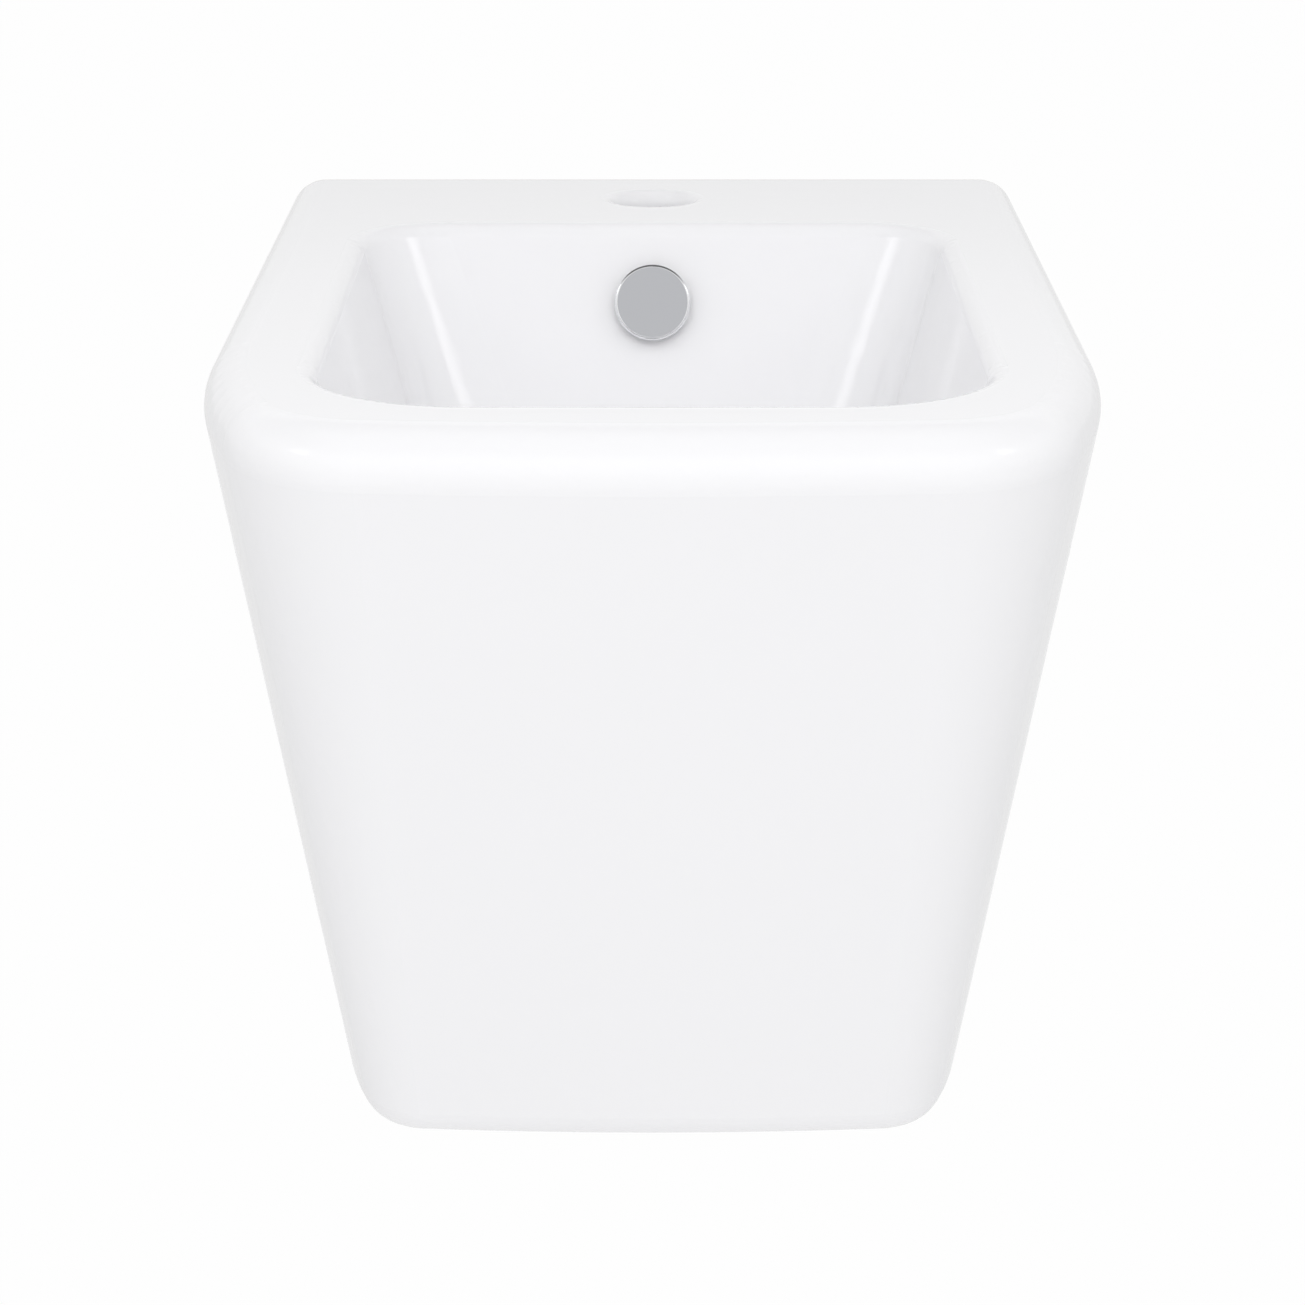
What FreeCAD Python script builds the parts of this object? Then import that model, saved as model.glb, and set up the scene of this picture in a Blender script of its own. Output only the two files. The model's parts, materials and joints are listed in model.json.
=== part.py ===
import FreeCAD, Part
import math
import os

# Wall-hung bidet: a tapered ceramic body with its overflow cover, its click waste and its wall fixings.
# Millimetres. The origin lies on the wall plane, midway between the two fixing holes.
# +Y points into the wall, so the user is on the -Y side. +Z is up, and the body is symmetric about X = 0.

# Ceramic body, outside
DECK_WIDTH = 355.0
DECK_DEPTH = 520.0
BODY_HEIGHT = 330.0
DECK_ABOVE_FIXING = 80.0
BASE_WIDTH = 252.0
BASE_DEPTH = 389.0
DECK_CURVE_DEPTH = 156.0  # how much of the deck's depth the curved front takes
BASE_CURVE_DEPTH = 73.0
DECK_CORNER_R = 60.0
BASE_CORNER_R = 26.0
SIDE_SWEEP_DEG = 18.0  # turn of the long arc between a straight side and its front corner
FRONT_BOW_DEG = 5.0  # half the turn of the slightly bowed front
DECK_EDGE_R = 17.0
BASE_EDGE_R = 20.0

# Ceramic body, walls
SHELL_WALL = 11.0
DECK_THICKNESS = 14.0
BASE_THICKNESS = 11.0
BASE_LIP = 34.0  # underside left standing around the service opening
SERVICE_CORNER_R = 30.0
SERVICE_EDGE_R = 3.5
FIXING_PLATE_THICKNESS = 18.0
FIXING_PLATE_DROP = 35.0  # how far the plate reaches below the fixing line
FIXING_PLATE_EDGE_R = 6.0

# Basin
RIM_SIDE = 47.5
RIM_FRONT = 54.0
REAR_DECK = 115.0
BASIN_DEPTH = 142.0
BASIN_WALL = 12.0
SIDE_DRAFT_DEG = 17.0
REAR_DRAFT_DEG = 16.0
FRONT_DRAFT_DEG = 24.0
OPENING_REAR_R = 36.0
OPENING_FRONT_R = 60.0
FLOOR_REAR_R = 46.0
FLOOR_FRONT_R = 60.0
FLOOR_FILLET_R = 32.0
LIP_R = 8.0

# Tap hole
TAP_HOLE_DIAMETER = 35.0
TAP_FROM_WALL = 48.5
TAP_LIP_R = 7.0

# Drain in the basin floor
DRAIN_FROM_WALL = 245.0
FUNNEL_WIDTH = 25.0  # sloping ring around the waste
FUNNEL_DROP = 4.0
SEAT_CLEARANCE = 1.5  # around the waste's flange
SEAT_RECESS = 6.0
SEAT_EDGE_R = 1.5
DRAIN_CLEARANCE = 2.0  # around the waste's thread, where the overflow water comes in
DRAIN_BOSS_WALL = 16.0
DRAIN_BOSS_BELOW_CHANNEL = 5.0
DRAIN_BOSS_EDGE_R = 4.0

# Overflow passage in the ceramic
OVERFLOW_BELOW_DECK = 34.5
OVERFLOW_HOLE_DIAMETER = 24.0
CHANNEL_WIDTH = 44.0
CHANNEL_GAP = 15.0
CHANNEL_WALL = 10.0
CHANNEL_HEADROOM = 16.0  # above the overflow hole's centre, along the wall
CHANNEL_BELOW_FLOOR = 24.0
CASING_EDGE_R = 9.0

# Overflow cover
OVERFLOW_CAP_DIAMETER = 34.4
OVERFLOW_CAP_THICKNESS = 2.6
OVERFLOW_CAP_EDGE_R = 1.3
OVERFLOW_CAP_BACK_CHAMFER = 0.3
OVERFLOW_STANDOFF = 4.6  # wall to the back of the cap, which the water flows in behind
OVERFLOW_STEM_DIAMETER = 5.0
OVERFLOW_STEM_LENGTH = 11.0
OVERFLOW_STEM_CHAMFER = 0.8
OVERFLOW_SHOULDER_WIDTH = 1.5
OVERFLOW_SEAL_WIDTH = 3.5
OVERFLOW_SEAL_THICKNESS = 1.2
SLEEVE_FLANGE_WIDTH = 3.0
SLEEVE_FLANGE_THICKNESS = 1.2
SLEEVE_WALL = 1.6
SLEEVE_TAIL = 3.5  # how far the snap legs reach past the back of the basin wall
SLEEVE_BARB = 0.9
SLEEVE_SLOT = 3.0
SLEEVE_SLOT_LENGTH = 9.0
SLEEVE_WEB = 2.0
SLEEVE_WEB_DEPTH = 7.0

# Click waste
WASTE_FLANGE_DIAMETER = 64.0
WASTE_FLANGE_THICKNESS = 4.5
WASTE_FLANGE_CHAMFER = 1.2
WASTE_SEAT_THICKNESS = 2.5  # flange left under the plug's seat
WASTE_THREAD_DIAMETER = 41.9
WASTE_BORE_DIAMETER = 36.9
WASTE_TAIL = 24.0  # free thread below the groove under the back nut
WASTE_TAIL_CHAMFER = 1.0
WASTE_GROOVE_WIDTH = 3.0
WASTE_GROOVE_DEPTH = 1.0
WINDOW_WIDTH = 13.0
WINDOW_MARGIN = 1.5  # the windows open this much past the channel's roof and floor
HUB_WALL = 3.3
HUB_HEIGHT = 8.0
HUB_BELOW_FLANGE = 17.0
ARM_THICKNESS = 3.0
ARM_COUNT = 4
TOP_SEAL_THICKNESS = 2.0
TOP_SEAL_WIDTH = 8.0
BOTTOM_SEAL_WIDTH = 11.0
BOTTOM_SEAL_THICKNESS = 6.0
BOTTOM_SEAL_CHAMFER = 3.0
SLIP_WASHER_WIDTH = 10.0
SLIP_WASHER_THICKNESS = 2.0
BACK_NUT_FLATS = 54.0
BACK_NUT_HEIGHT = 10.0

# Plug and click cartridge
PLUG_TRAVEL = 8.0
PLUG_DIAMETER = 49.0
PLUG_CLEARANCE = 1.0  # between the plug's rim and the flange when it is pushed down
PLUG_RIM = 1.6
PLUG_CROWN = 2.4
PLUG_BOSS_CLEARANCE = 2.5  # between the plug's boss and the waste's bore
PLUG_BOSS_DEPTH = 1.2
PLUG_SOCKET_WALL = 4.0
PLUG_SOCKET_DEPTH = 7.0
PLUG_SEAL_WIDTH = 5.0
PLUG_SEAL_THICKNESS = 2.4
PIN_DIAMETER = 6.0
PIN_FOOT_STEP = 1.1
PIN_FOOT_HEIGHT = 1.4
LATCH_RING_HEIGHT = 3.0
CARTRIDGE_WALL = 1.8
CARTRIDGE_COLLAR_WIDTH = 2.5
CARTRIDGE_COLLAR_THICKNESS = 2.5
CARTRIDGE_TOP_WALL = 1.5
CARTRIDGE_NUT_FLATS = 17.0
CARTRIDGE_NUT_HEIGHT = 5.0
END_CAP_HEIGHT = 4.0
END_CAP_FLANGE = 1.5
SPRING_LENGTH = 18.0
SPRING_WIRE = 0.8
SPRING_TURNS = 6

# Wall fixings
FIXING_SPACING = 180.0
FIXING_HOLE_DIAMETER = 22.0
FIXING_BORE_DIAMETER = 13.0
BUSH_COLLAR_WIDTH = 6.0
BUSH_COLLAR_THICKNESS = 4.0
FIXING_WASHER_WIDTH = 8.5
FIXING_WASHER_THICKNESS = 2.5
FIXING_NUT_FLATS = 19.0
FIXING_NUT_HEIGHT = 10.0
FIXING_NUT_BORE = 12.2
NUT_BEVEL_DEG = 30.0

# Clearances
RUNNING_CLEARANCE = 0.08  # radial, between a sliding pin and its hole
ASSEMBLY_CLEARANCE = 0.2  # between fixed pieces that are put together by hand
THREAD_CLEARANCE = 0.1  # between pieces that are screwed together
CUT_PAST = 10.0  # how far a cutting shape runs past the face that it opens
TOUCH = 0.001  # lengths closer than this count as equal

# Radii that follow from the sizes
WASTE_THREAD_R = WASTE_THREAD_DIAMETER / 2
WASTE_BORE_R = WASTE_BORE_DIAMETER / 2
NUT_CLEAR_R = WASTE_THREAD_R + THREAD_CLEARANCE
SEAT_R = WASTE_FLANGE_DIAMETER / 2 + SEAT_CLEARANCE
DRAIN_HOLE_R = WASTE_THREAD_R + DRAIN_CLEARANCE
DRAIN_BOSS_R = DRAIN_HOLE_R + DRAIN_BOSS_WALL
OVERFLOW_HOLE_R = OVERFLOW_HOLE_DIAMETER / 2
OVERFLOW_STEM_R = OVERFLOW_STEM_DIAMETER / 2
PLUG_BOSS_R = WASTE_BORE_R - PLUG_BOSS_CLEARANCE
PIN_R = PIN_DIAMETER / 2
PIN_FOOT_R = PIN_R + PIN_FOOT_STEP
CARTRIDGE_BORE_R = PIN_FOOT_R + RUNNING_CLEARANCE
CARTRIDGE_R = CARTRIDGE_BORE_R + CARTRIDGE_WALL
HUB_BORE_R = CARTRIDGE_R + THREAD_CLEARANCE

# Heights that follow from the sizes
DECK_Z = DECK_ABOVE_FIXING
BASE_Z = DECK_Z - BODY_HEIGHT
FLOOR_Z = DECK_Z - BASIN_DEPTH
FUNNEL_Z = FLOOR_Z - FUNNEL_DROP
SEAT_Z = FUNNEL_Z - SEAT_RECESS
CHANNEL_TOP_Z = FLOOR_Z - CHANNEL_BELOW_FLOOR
CHANNEL_BOTTOM_Z = CHANNEL_TOP_Z - CHANNEL_GAP
BOSS_Z = CHANNEL_BOTTOM_Z - CHANNEL_WALL - DRAIN_BOSS_BELOW_CHANNEL
FLANGE_Z = SEAT_Z + TOP_SEAL_THICKNESS
PLUG_SEAT_Z = FLANGE_Z + WASTE_SEAT_THICKNESS
HUB_TOP_Z = FLANGE_Z - HUB_BELOW_FLANGE
HUB_BOTTOM_Z = HUB_TOP_Z - HUB_HEIGHT
SLIP_WASHER_TOP_Z = BOSS_Z - BOTTOM_SEAL_THICKNESS
BACK_NUT_TOP_Z = SLIP_WASHER_TOP_Z - SLIP_WASHER_THICKNESS
GROOVE_TOP_Z = BACK_NUT_TOP_Z - BACK_NUT_HEIGHT
GROOVE_Z = GROOVE_TOP_Z - WASTE_GROOVE_WIDTH
TAIL_Z = GROOVE_Z - WASTE_TAIL
PLUG_SEAL_Z = PLUG_SEAT_Z + PLUG_TRAVEL + ASSEMBLY_CLEARANCE
PLUG_RIM_Z = PLUG_SEAL_Z + PLUG_SEAL_THICKNESS
COLLAR_TOP_Z = HUB_TOP_Z + CARTRIDGE_COLLAR_THICKNESS
CARTRIDGE_ROOF_Z = COLLAR_TOP_Z - CARTRIDGE_TOP_WALL
LATCH_RING_TOP_Z = CARTRIDGE_ROOF_Z - ASSEMBLY_CLEARANCE
PIN_FOOT_TOP_Z = LATCH_RING_TOP_Z - LATCH_RING_HEIGHT
PIN_FOOT_Z = PIN_FOOT_TOP_Z - PIN_FOOT_HEIGHT
CARTRIDGE_FLOOR_Z = PIN_FOOT_Z - SPRING_LENGTH
CARTRIDGE_END_Z = CARTRIDGE_FLOOR_Z - END_CAP_HEIGHT

# Depths behind the wall plane, along the fixings
PLATE_FACE = -FIXING_PLATE_THICKNESS
BUSH_FACE = PLATE_FACE - BUSH_COLLAR_THICKNESS
WASHER_FACE = BUSH_FACE - FIXING_WASHER_THICKNESS

CENTRE = FreeCAD.Vector(0, 0, 0)
UP = FreeCAD.Vector(0, 0, 1)
ACROSS = FreeCAD.Vector(1, 0, 0)
DRAIN = FreeCAD.Vector(0, -DRAIN_FROM_WALL, 0)
TAP = FreeCAD.Vector(0, -TAP_FROM_WALL, 0)
REAR_DRAFT = math.radians(REAR_DRAFT_DEG)
REAR_WALL = BASIN_WALL * math.cos(REAR_DRAFT)  # measured square to the wall's face
OVERFLOW_ALONG = OVERFLOW_BELOW_DECK / math.cos(REAR_DRAFT)  # measured down the wall's face


def vec(x, y, z):
    return FreeCAD.Vector(x, y, z)


def blend(start, end, share):
    return start + (end - start) * share


def lean(length, degrees):
    """How far a wall at that angle to the vertical moves sideways over that length."""
    return length * math.tan(math.radians(degrees))


def line(start, end):
    return Part.LineSegment(start, end).toShape()


def arc(start, middle, end):
    return Part.Arc(start, middle, end).toShape()


def mirrored(point):
    return vec(-point.x, point.y, point.z)


def loft(lower, upper):
    return Part.makeLoft([lower, upper], True, True)


def cylinder(radius, bottom, top, axis=CENTRE):
    return Part.makeCylinder(radius, top - bottom, vec(axis.x, axis.y, bottom))


def ring(outer_radius, inner_radius, bottom, top, axis=CENTRE):
    hole = cylinder(inner_radius, bottom - CUT_PAST, top + CUT_PAST, axis)
    return cylinder(outer_radius, bottom, top, axis).cut(hole)


def bar(length, width, bottom, top, start, turn):
    """A box along X from the start, level with the axis, and then turned about Z."""
    box = Part.makeBox(length, width, top - bottom, vec(start, -width / 2, bottom))
    box.rotate(CENTRE, UP, turn)
    return box


def turned(profile, axis=CENTRE):
    """A solid of revolution about Z from a closed list of (radius, height) points."""
    points = [vec(r, 0, z) for r, z in profile]
    points.append(points[0])
    solid = Part.Face(Part.makePolygon(points)).revolve(CENTRE, UP, 360)
    solid.translate(axis)
    return solid


def hexagon(flats, bore_radius, bottom, top, axis=CENTRE):
    """A hexagonal nut along Z with a plain bore and bevelled corners."""
    corner = flats / math.sqrt(3)
    steps = [math.radians(60 * step) for step in range(7)]
    points = [vec(axis.x + corner * math.cos(t), axis.y + corner * math.sin(t), bottom) for t in steps]
    prism = Part.Face(Part.makePolygon(points)).extrude(vec(0, 0, top - bottom))
    face_r = flats / 2 - ASSEMBLY_CLEARANCE
    belly_r = corner + ASSEMBLY_CLEARANCE
    bevel = lean(belly_r - face_r, NUT_BEVEL_DEG)
    envelope = turned([
        (0, bottom), (face_r, bottom), (belly_r, bottom + bevel),
        (belly_r, top - bevel), (face_r, top), (0, top),
    ], axis)
    return prism.common(envelope).cut(cylinder(bore_radius, bottom - CUT_PAST, top + CUT_PAST, axis))


def edges_on_level(shape, z):
    """The edges that lie in the plane at height z."""
    return [e for e in shape.Edges if abs(e.BoundBox.ZMin - z) < TOUCH and abs(e.BoundBox.ZMax - z) < TOUCH]


def soft_square(width, depth, curve_depth, corner_r, z, back_y):
    """A closed outline with a straight back and sides and a front of tangent arcs."""
    sweep = math.radians(SIDE_SWEEP_DEG)
    bow = math.radians(FRONT_BOW_DEG)
    # The side arc gets the radius that makes it, the corner and the front arc meet tangentially.
    across = width / 2 - corner_r * (math.cos(sweep) - math.sin(bow))
    along = curve_depth - corner_r * (math.cos(bow) - math.sin(sweep))
    scale = (1 - math.cos(sweep)) * (1 - math.cos(bow)) - math.sin(bow) * math.sin(sweep)
    side_r = (across * (1 - math.cos(bow)) - math.sin(bow) * along) / scale
    start_y = curve_depth - depth
    corner_x = width / 2 - side_r + (side_r - corner_r) * math.cos(sweep)
    corner_y = start_y - (side_r - corner_r) * math.sin(sweep)

    def side_point(turn):
        return vec(width / 2 - side_r * (1 - math.cos(turn)), start_y - side_r * math.sin(turn), z)

    def corner_point(turn):
        return vec(corner_x + corner_r * math.cos(turn), corner_y - corner_r * math.sin(turn), z)

    corner_end = math.pi / 2 - bow
    back = vec(width / 2, back_y, z)
    start = side_point(0)
    side_middle = side_point(sweep / 2)
    meet = side_point(sweep)
    corner_middle = corner_point((sweep + corner_end) / 2)
    end = corner_point(corner_end)
    front = vec(0, -depth, z)
    return Part.Wire([
        line(mirrored(back), back),
        line(back, start),
        arc(start, side_middle, meet),
        arc(meet, corner_middle, end),
        arc(end, front, mirrored(end)),
        arc(mirrored(end), mirrored(corner_middle), mirrored(meet)),
        arc(mirrored(meet), mirrored(side_middle), mirrored(start)),
        line(mirrored(start), mirrored(back)),
    ])


def rounded_box(half_width, rear_y, front_y, rear_r, front_r, z):
    """A closed outline with four straight sides and one radius for each pair of corners."""
    inset = 1 - math.sqrt(0.5)
    rear_in = vec(half_width - rear_r, rear_y, z)
    rear_middle = vec(half_width - rear_r * inset, rear_y - rear_r * inset, z)
    rear_out = vec(half_width, rear_y - rear_r, z)
    front_out = vec(half_width, front_y + front_r, z)
    front_middle = vec(half_width - front_r * inset, front_y + front_r * inset, z)
    front_in = vec(half_width - front_r, front_y, z)
    return Part.Wire([
        line(mirrored(rear_in), rear_in),
        arc(rear_in, rear_middle, rear_out),
        line(rear_out, front_out),
        arc(front_out, front_middle, front_in),
        line(front_in, mirrored(front_in)),
        arc(mirrored(front_in), mirrored(front_middle), mirrored(front_out)),
        line(mirrored(front_out), mirrored(rear_out)),
        arc(mirrored(rear_out), mirrored(rear_middle), mirrored(rear_in)),
    ])


def body_section(z, inset, back_y):
    """The body's outline at height z, moved in by the inset."""
    share = (DECK_Z - z) / BODY_HEIGHT
    width = blend(DECK_WIDTH, BASE_WIDTH, share) - 2 * inset
    depth = blend(DECK_DEPTH, BASE_DEPTH, share) - inset
    curve_depth = blend(DECK_CURVE_DEPTH, BASE_CURVE_DEPTH, share) - inset
    corner_r = blend(DECK_CORNER_R, BASE_CORNER_R, share) - inset
    return soft_square(width, depth, curve_depth, corner_r, z, back_y)


def basin_section(z, grow):
    """The basin's outline at height z, moved out by the growth."""
    below = DECK_Z - z
    share = below / BASIN_DEPTH
    half_width = DECK_WIDTH / 2 - RIM_SIDE - lean(below, SIDE_DRAFT_DEG) + grow
    rear_y = -REAR_DECK - lean(below, REAR_DRAFT_DEG) + grow
    front_y = RIM_FRONT - DECK_DEPTH + lean(below, FRONT_DRAFT_DEG) - grow
    rear_r = blend(OPENING_REAR_R, FLOOR_REAR_R, share) + grow
    front_r = blend(OPENING_FRONT_R, FLOOR_FRONT_R, share) + grow
    return rounded_box(half_width, rear_y, front_y, rear_r, front_r, z)


def body_block():
    """The closed outside form, rounded along the deck and the base but square at the wall."""
    block = loft(body_section(BASE_Z, 0, CUT_PAST), body_section(DECK_Z, 0, CUT_PAST))
    corner = vec(-DECK_WIDTH, -DECK_DEPTH - CUT_PAST, BASE_Z - CUT_PAST)
    room = Part.makeBox(2 * DECK_WIDTH, DECK_DEPTH + CUT_PAST, BODY_HEIGHT + 2 * CUT_PAST, corner)
    block = block.common(room)  # ends at the wall plane
    for level, radius in ((DECK_Z, DECK_EDGE_R), (BASE_Z, BASE_EDGE_R)):
        edges = [e for e in edges_on_level(block, level) if e.BoundBox.YMin < -TOUCH]
        block = block.makeFillet(radius, edges)
    return block


def basin_form(bottom, grow):
    """The basin as a closed form from past the deck down to that height, with a rounded floor edge."""
    form = loft(basin_section(bottom, grow), basin_section(DECK_Z + CUT_PAST, grow))
    return form.makeFillet(FLOOR_FILLET_R, edges_on_level(form, bottom))


def wall_point(along, behind):
    """A point at X = 0, so far down the basin's rear wall from the deck and so far behind its face."""
    y = -REAR_DECK - along * math.sin(REAR_DRAFT) + behind * math.cos(REAR_DRAFT)
    z = DECK_Z - along * math.cos(REAR_DRAFT) - behind * math.sin(REAR_DRAFT)
    return vec(0, y, z)


def wall_point_at(z, behind):
    """The point at height z, so far behind the rear wall's face."""
    along = (DECK_Z - z - behind * math.sin(REAR_DRAFT)) / math.cos(REAR_DRAFT)
    return wall_point(along, behind)


def bent_slab(top, roof_z, bottom_z, near, far, width):
    """A slab that follows the rear wall down from its top and then runs level to the drain."""
    points = [
        wall_point(top, near),
        wall_point_at(roof_z, near),
        vec(0, DRAIN.y, roof_z),
        vec(0, DRAIN.y, bottom_z),
        wall_point_at(bottom_z, far),
        wall_point(top, far),
        wall_point(top, near),
    ]
    slab = Part.Face(Part.makePolygon(points)).extrude(vec(width, 0, 0))
    slab.translate(vec(-width / 2, 0, 0))
    return slab


def overflow_channel():
    """The hollow that leads from the overflow hole down to the waste."""
    top = OVERFLOW_ALONG - CHANNEL_HEADROOM
    far = REAR_WALL + CHANNEL_GAP
    return bent_slab(top, CHANNEL_TOP_Z, CHANNEL_BOTTOM_Z, REAR_WALL, far, CHANNEL_WIDTH)


def overflow_casing():
    """The ceramic around that hollow, which reaches up to the deck and into the basin's wall and floor."""
    far = REAR_WALL + CHANNEL_GAP + CHANNEL_WALL
    width = CHANNEL_WIDTH + 2 * CHANNEL_WALL
    bottom = CHANNEL_BOTTOM_Z - CHANNEL_WALL
    casing = bent_slab(0, FLOOR_Z, bottom, 0, far, width)
    bend = wall_point_at(bottom, far)

    def meets_bend(edge):
        return any(abs(v.Y - bend.y) < TOUCH and abs(v.Z - bend.z) < TOUCH for v in edge.Vertexes)

    return casing.makeFillet(CASING_EDGE_R, [e for e in casing.Edges if meets_bend(e)])


def at_overflow(shape):
    """Moves a shape, drawn with Z pointing out of the basin's rear wall, to the overflow hole."""
    placed = shape.copy()
    tilt = FreeCAD.Rotation(ACROSS, 90 - REAR_DRAFT_DEG)
    placed.Placement = FreeCAD.Placement(wall_point(OVERFLOW_ALONG, 0), tilt)
    return placed


def at_fixings(shape):
    """Puts a shape, drawn with Z pointing into the wall, at both fixing holes as one group."""
    into_wall = FreeCAD.Rotation(ACROSS, -90)
    placed = []
    for x in (-FIXING_SPACING / 2, FIXING_SPACING / 2):
        copy = shape.copy()
        copy.Placement = FreeCAD.Placement(vec(x, 0, 0), into_wall)
        placed.append(copy)
    return Part.makeCompound(placed)


def service_opening():
    """The opening in the underside, which runs out through the back."""
    half_width = BASE_WIDTH / 2 - BASE_LIP
    back_y = SERVICE_CORNER_R + CUT_PAST
    front_y = BASE_LIP - BASE_DEPTH
    bottom = BASE_Z - CUT_PAST
    outline = rounded_box(half_width, back_y, front_y, SERVICE_CORNER_R, SERVICE_CORNER_R, bottom)
    return Part.Face(outline).extrude(vec(0, 0, BASE_THICKNESS + 2 * CUT_PAST))


def fixing_plate():
    """The thick upper part of the back, which the wall studs pass through."""
    height = DECK_Z + FIXING_PLATE_DROP
    depth = FIXING_PLATE_THICKNESS + 2 * CUT_PAST
    bottom = -FIXING_PLATE_DROP
    plate = Part.makeBox(2 * DECK_WIDTH, depth, height, vec(-DECK_WIDTH, PLATE_FACE, bottom))
    inner_edge = [e for e in edges_on_level(plate, bottom) if e.BoundBox.YMax < PLATE_FACE + TOUCH]
    return plate.makeFillet(FIXING_PLATE_EDGE_R, inner_edge)


def shell_hollow():
    """The space inside the body, open below and behind, with the basin and its bosses left standing."""
    top = body_section(DECK_Z - DECK_THICKNESS, SHELL_WALL, CUT_PAST)
    bottom = body_section(BASE_Z + BASE_THICKNESS, SHELL_WALL, CUT_PAST)
    basin = basin_form(FLOOR_Z - BASIN_WALL, BASIN_WALL)
    boss = cylinder(DRAIN_BOSS_R, BOSS_Z, FLOOR_Z - BASIN_WALL / 2, DRAIN)
    boss = boss.makeFillet(DRAIN_BOSS_EDGE_R, edges_on_level(boss, BOSS_Z))
    kept = basin.fuse([boss, overflow_casing(), fixing_plate()])
    return loft(bottom, top).cut(kept)


def drain_cut():
    """The sloping ring around the waste, its seat and the hole below it."""
    slope = FUNNEL_WIDTH / FUNNEL_DROP
    rise = FUNNEL_DROP + CUT_PAST
    funnel = Part.makeCone(SEAT_R, SEAT_R + rise * slope, rise, DRAIN + vec(0, 0, FUNNEL_Z))
    funnel = funnel.common(cylinder(SEAT_R + FUNNEL_WIDTH + CUT_PAST, SEAT_Z, FUNNEL_Z + rise, DRAIN))
    seat = cylinder(SEAT_R, SEAT_Z, FUNNEL_Z, DRAIN)
    return funnel.fuse([seat, cylinder(DRAIN_HOLE_R, BOSS_Z - CUT_PAST, SEAT_Z, DRAIN)])


def basin_rim_edges(body):
    """The edges of the basin's opening in the deck."""
    half_width = DECK_WIDTH / 2 - RIM_SIDE + TOUCH
    rim = []
    for edge in edges_on_level(body, DECK_Z):
        box = edge.BoundBox
        if -half_width < box.XMin and box.XMax < half_width and box.YMax < TOUCH - REAR_DECK:
            rim.append(edge)
    return rim


def round_edges(body, z, diameter):
    """The circular edges of that diameter at height z."""
    return [e for e in edges_on_level(body, z) if abs(e.BoundBox.XLength - diameter) < TOUCH]


def service_edges(body):
    """The edges of the service opening, above and below, apart from those on the wall plane."""
    half_width = BASE_WIDTH / 2 - BASE_LIP + TOUCH
    front_y = BASE_LIP - BASE_DEPTH - TOUCH
    found = []
    for edge in edges_on_level(body, BASE_Z) + edges_on_level(body, BASE_Z + BASE_THICKNESS):
        box = edge.BoundBox
        if -half_width < box.XMin and box.XMax < half_width and front_y < box.YMin < -TOUCH:
            found.append(edge)
    return found


def ceramic_body():
    body = body_block().cut(basin_form(FLOOR_Z, 0))
    body = body.makeFillet(LIP_R, basin_rim_edges(body))
    under_deck = DECK_Z - DECK_THICKNESS - CUT_PAST
    body = body.cut(cylinder(TAP_HOLE_DIAMETER / 2, under_deck, DECK_Z + CUT_PAST, TAP))
    body = body.makeFillet(TAP_LIP_R, round_edges(body, DECK_Z, TAP_HOLE_DIAMETER))
    body = body.cut(drain_cut())
    body = body.makeFillet(SEAT_EDGE_R, round_edges(body, FUNNEL_Z, 2 * SEAT_R))
    body = body.cut(shell_hollow())
    body = body.cut(service_opening())
    body = body.makeFillet(SERVICE_EDGE_R, service_edges(body))
    overflow_hole = cylinder(OVERFLOW_HOLE_R, -REAR_WALL - CHANNEL_GAP / 2, CUT_PAST)
    body = body.cut(overflow_channel().fuse(at_overflow(overflow_hole)))
    fixing_hole = cylinder(FIXING_HOLE_DIAMETER / 2, PLATE_FACE - CUT_PAST, CUT_PAST)
    return body.cut(at_fixings(fixing_hole).Solids)


def overflow_seal():
    outer_r = OVERFLOW_HOLE_R + OVERFLOW_SEAL_WIDTH
    return at_overflow(ring(outer_r, OVERFLOW_HOLE_R, 0, OVERFLOW_SEAL_THICKNESS))


def overflow_sleeve():
    """A plastic tube with a front flange, slotted snap legs and a spider for the cap's stem."""
    tube_r = OVERFLOW_HOLE_R - ASSEMBLY_CLEARANCE
    bore_r = tube_r - SLEEVE_WALL
    flange_r = OVERFLOW_HOLE_R + SLEEVE_FLANGE_WIDTH
    flange_z = OVERFLOW_SEAL_THICKNESS
    front_z = flange_z + SLEEVE_FLANGE_THICKNESS
    barb_z = -REAR_WALL - ASSEMBLY_CLEARANCE
    tail_z = barb_z - SLEEVE_TAIL
    sleeve = turned([
        (bore_r, tail_z), (tube_r - SLEEVE_BARB, tail_z), (tube_r + SLEEVE_BARB, barb_z), (tube_r, barb_z),
        (tube_r, flange_z), (flange_r, flange_z), (flange_r, front_z), (bore_r, front_z),
    ])
    web_z = flange_z - SLEEVE_WEB_DEPTH
    spider = [cylinder(OVERFLOW_STEM_R + SLEEVE_WALL, web_z, flange_z)]
    reach = bore_r + SLEEVE_WALL / 2
    past = flange_r + CUT_PAST
    slot_z = tail_z + SLEEVE_SLOT_LENGTH
    for turn in (0, 90):
        spider.append(bar(2 * reach, SLEEVE_WEB, web_z, flange_z, -reach, turn))
        sleeve = sleeve.cut(bar(2 * past, SLEEVE_SLOT, tail_z - CUT_PAST, slot_z, -past, turn + 45))
    stem_hole = cylinder(OVERFLOW_STEM_R + THREAD_CLEARANCE, web_z - CUT_PAST, front_z)
    return at_overflow(sleeve.fuse(spider).cut(stem_hole).removeSplitter())


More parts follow.
